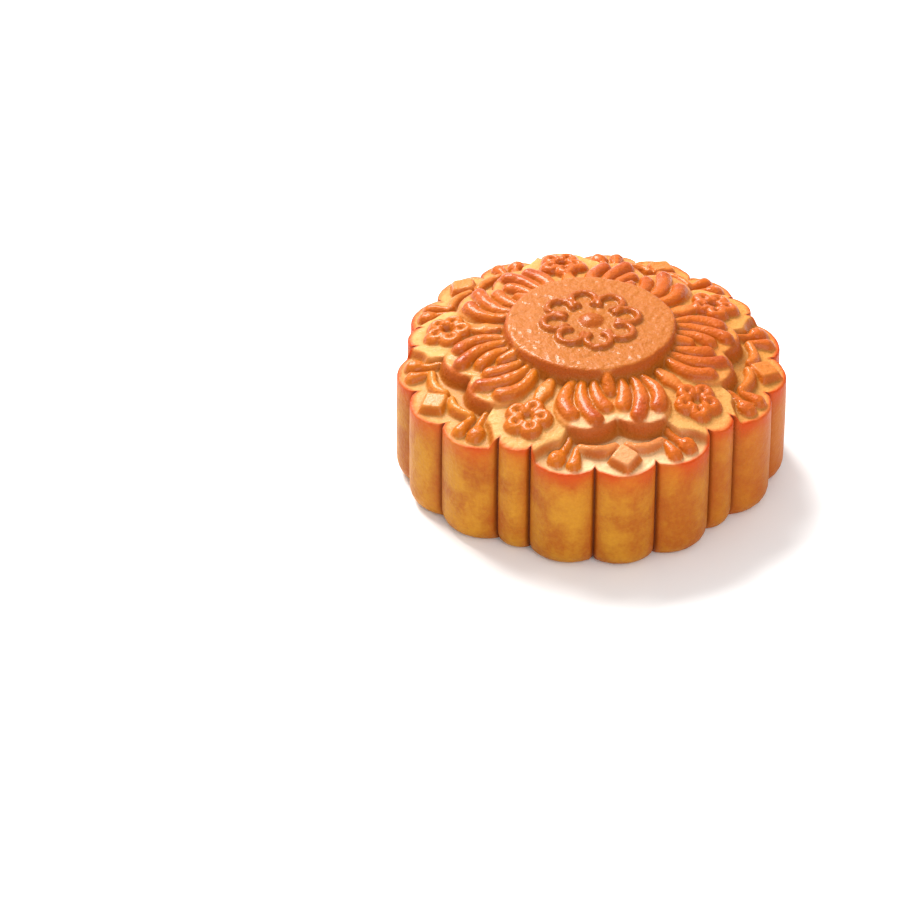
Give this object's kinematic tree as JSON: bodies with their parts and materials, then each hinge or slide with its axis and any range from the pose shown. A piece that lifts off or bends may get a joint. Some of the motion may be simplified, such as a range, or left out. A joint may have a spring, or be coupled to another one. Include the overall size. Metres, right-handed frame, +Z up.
{
  "type": "mooncake",
  "caption": "Round baked mooncake with a scalloped wall and, in relief on its stepped top, a plain rosette disc ringed by petal pads, small flowers, scrolls and lozenges.",
  "frame": {"origin": "centre of the flat base, on the upright axis that the five equal sectors turn about", "axes": "+Z up, along the upright axis; -Y towards the middle of the lobe that faces the viewer"},
  "size_m": [0.0796, 0.0788, 0.0344],
  "materials": {
    "crust": "golden baked crust with an egg glaze on its raised ornament"
  },
  "bodies": {
    "root": {"mooncake": "crust"}
  },
  "joints": []
}
